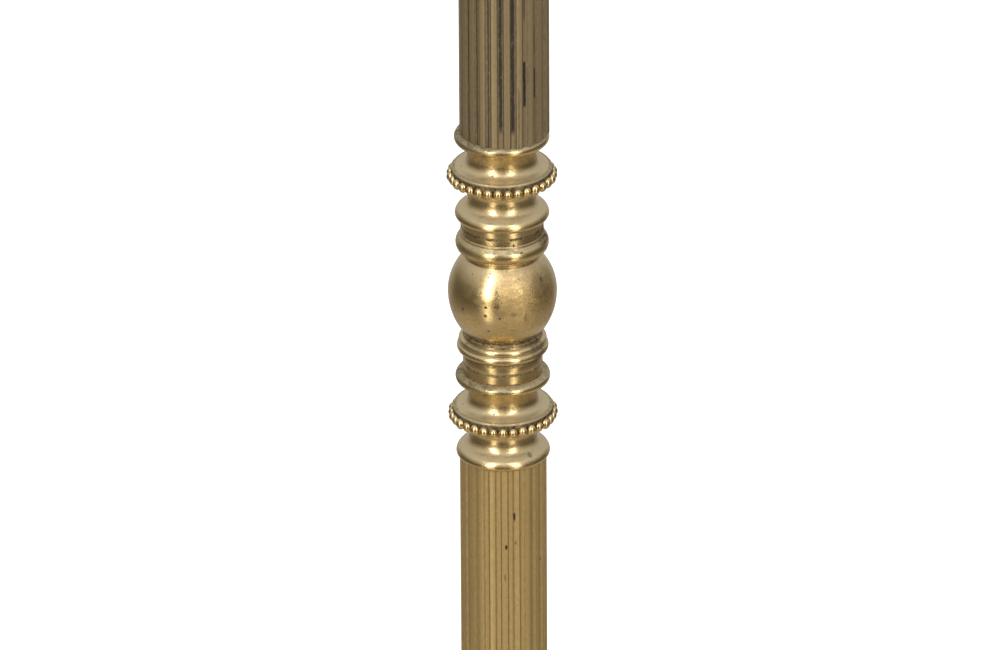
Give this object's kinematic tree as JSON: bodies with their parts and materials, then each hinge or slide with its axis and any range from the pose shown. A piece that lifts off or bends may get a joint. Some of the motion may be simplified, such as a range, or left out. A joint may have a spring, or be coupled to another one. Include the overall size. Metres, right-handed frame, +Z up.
{
  "type": "bible stand",
  "caption": "Floor-standing brass bible stand: round weighted base on ball feet, fluted column with a beaded ball knop, telescopic mast and a tilting, swivelling pierced book desk.",
  "frame": {"origin": "on the floor, on the axis of the base and lower column", "axes": "+Z up, +X to the reader's right, -Y towards the reader"},
  "size_m": [0.42, 0.3365, 1.2226],
  "materials": {
    "polished_brass": "polished and worn, lightly tarnished",
    "cast_brass": "turned and polished casting with grime in the grooves and small casting pits",
    "lower_tube_brass": "drawn fluted tube, satin, darker flute edges",
    "upper_tube_brass": "drawn fluted tube, dull brown tarnish, black grime in the flutes",
    "cast_iron": "black painted rough casting",
    "steel": "plain steel, dull"
  },
  "bodies": {
    "column": {"foot_1": "polished_brass", "foot_2": "polished_brass", "foot_3": "polished_brass", "foot_screws": "steel", "base_dish": "polished_brass", "base_bead_ring": "polished_brass", "base_ballast": "cast_iron", "base_coupling": "cast_brass", "lower_tube": "lower_tube_brass", "lower_coupling": "cast_brass", "knop_ferrule_lower": "cast_brass", "ball_knop": "cast_brass", "knop_ferrule_upper": "cast_brass", "upper_coupling": "cast_brass", "upper_tube": "upper_tube_brass", "tie_rod": "steel", "tie_washers": "steel", "tie_nuts": "steel", "top_coupling": "cast_brass", "mast_bush": "polished_brass", "clamp_collar": "polished_brass"},
    "clamp_pad": {"clamp_pad": "polished_brass"},
    "clamp_screw": {"clamp_screw": "polished_brass"},
    "mast": {"mast": "polished_brass", "mast_shoe": "polished_brass"},
    "head": {"head_yoke": "polished_brass", "tilt_pin": "polished_brass"},
    "tilt_washer": {"tilt_washer": "polished_brass"},
    "tilt_knob": {"tilt_knob": "polished_brass"},
    "desk": {"desk_plate": "polished_brass", "desk_bracket": "polished_brass", "desk_shelf": "polished_brass", "desk_lip": "polished_brass", "desk_screws": "polished_brass", "shelf_screws": "polished_brass"}
  },
  "joints": [
    {"name": "mast_slide", "type": "slide", "parent": "column", "child": "mast", "axis": [0, 0, 1], "range_m": [0, 0.24]},
    {"name": "head_swivel", "type": "hinge", "parent": "mast", "child": "head", "pos_m": [0.0014, 0, 1.078], "axis": [0, 0, 1], "continuous": true},
    {"name": "desk_tilt", "type": "hinge", "parent": "head", "child": "desk", "pos_m": [0.0014, 0, 1.118], "axis": [1, 0, 0], "range_deg": [-32, 23]},
    {"name": "tilt_washer_slide", "type": "slide", "parent": "head", "child": "tilt_washer", "axis": [1, 0, 0], "range_m": [0, 0.00125]},
    {"name": "tilt_knob_turn", "type": "hinge", "parent": "tilt_washer", "child": "tilt_knob", "pos_m": [0.0014, 0, 1.118], "axis": [1, 0, 0], "range_deg": [0, 360]},
    {"name": "clamp_pad_slide", "type": "slide", "parent": "column", "child": "clamp_pad", "axis": [1, 0, 0], "range_m": [0, 0.00125]},
    {"name": "clamp_screw_turn", "type": "hinge", "parent": "clamp_pad", "child": "clamp_screw", "pos_m": [0.0014, 0, 1.0644], "axis": [1, 0, 0], "range_deg": [0, 360]}
  ],
  "couplings": [
    {"joint": "tilt_knob_turn", "follows": "tilt_washer_slide", "rad_per_m": 5026.5},
    {"joint": "clamp_screw_turn", "follows": "clamp_pad_slide", "rad_per_m": 5026.5}
  ]
}
